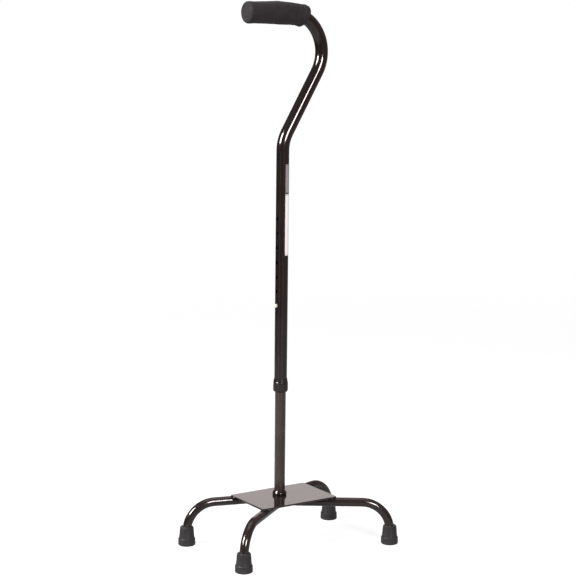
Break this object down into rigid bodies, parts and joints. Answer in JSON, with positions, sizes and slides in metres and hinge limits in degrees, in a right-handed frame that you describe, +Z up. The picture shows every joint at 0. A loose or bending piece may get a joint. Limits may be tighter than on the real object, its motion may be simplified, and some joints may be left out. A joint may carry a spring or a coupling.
{
  "type": "quad walking cane",
  "caption": "Quad walking cane: swan-neck handle with foam grip on a telescoping shaft with snap button and locking collar, over a low plate base with splayed legs and rubber tips.",
  "frame": {"origin": "on the floor, at the centre of the rectangle that encloses the four tips", "axes": "+Z up the shaft; X along the grip and the plate's long side, with the grip pointing to -X from the neck; +Y is the straight side of the base, next to the user, and -Y the splayed side"},
  "size_m": [0.3416, 0.2116, 0.9492],
  "materials": {
    "handle_paint": "high gloss dark bronze-brown paint",
    "lower_tube_paint": "gloss dark bronze paint, slightly greyer than the handle",
    "leg_paint": "gloss dark bronze paint",
    "plate_paint": "very smooth gloss bronze paint",
    "ferrule_paint": "gloss dark bronze paint",
    "grip_foam": "matte closed-cell foam",
    "tip_rubber": "matte moulded rubber",
    "collar_plastic": "satin moulded plastic",
    "button_plastic": "smooth moulded plastic",
    "nylon": "satin moulded nylon",
    "spring_steel": "bright spring steel",
    "plain_steel": "zinc-plated steel",
    "grey_label": "printed film, left blank",
    "white_label": "printed film, left blank"
  },
  "bodies": {
    "base": {"base_plate": "plate_paint", "front_leg_tube": "leg_paint", "rear_leg_tube": "leg_paint", "leg_weld_beads": "leg_paint", "foot_ferrule": "ferrule_paint", "shaft_spigot": "plain_steel", "lower_tube": "lower_tube_paint", "glide_bush": "nylon", "button_clip": "spring_steel", "tip_left_front": "tip_rubber", "tip_right_front": "tip_rubber", "tip_left_rear": "tip_rubber", "tip_right_rear": "tip_rubber", "tip_washer_left_front": "plain_steel", "tip_washer_right_front": "plain_steel", "tip_washer_left_rear": "plain_steel", "tip_washer_right_rear": "plain_steel"},
    "button": {"snap_button": "button_plastic"},
    "ring": {"compression_ring": "nylon"},
    "handle": {"handle_tube": "handle_paint", "foam_grip": "grip_foam", "grip_plug": "nylon", "guide_bush": "nylon", "grey_label": "grey_label", "white_label": "white_label"},
    "collar": {"lock_collar": "collar_plastic"}
  },
  "joints": [
    {"name": "height_slide", "type": "slide", "parent": "base", "child": "ring", "axis": [0, 0, 1], "range_m": [-0.1524, 0]},
    {"name": "handle_swivel", "type": "hinge", "parent": "ring", "child": "handle", "pos_m": [-0.004, 0.0243, 0.283], "axis": [0, 0, 1], "range_deg": [0, 180], "deforming": ["snap_button"]},
    {"name": "collar_turn", "type": "hinge", "parent": "handle", "child": "collar", "pos_m": [-0.004, 0.0243, 0.285], "axis": [0, 0, 1], "range_deg": [-360, 0]},
    {"name": "button_press", "type": "slide", "parent": "base", "child": "button", "axis": [1, 0, 0], "range_m": [0, 0.0056], "stiffness_N_per_m": 900, "springref_m": -0.003, "deforming": ["button_clip"]}
  ]
}
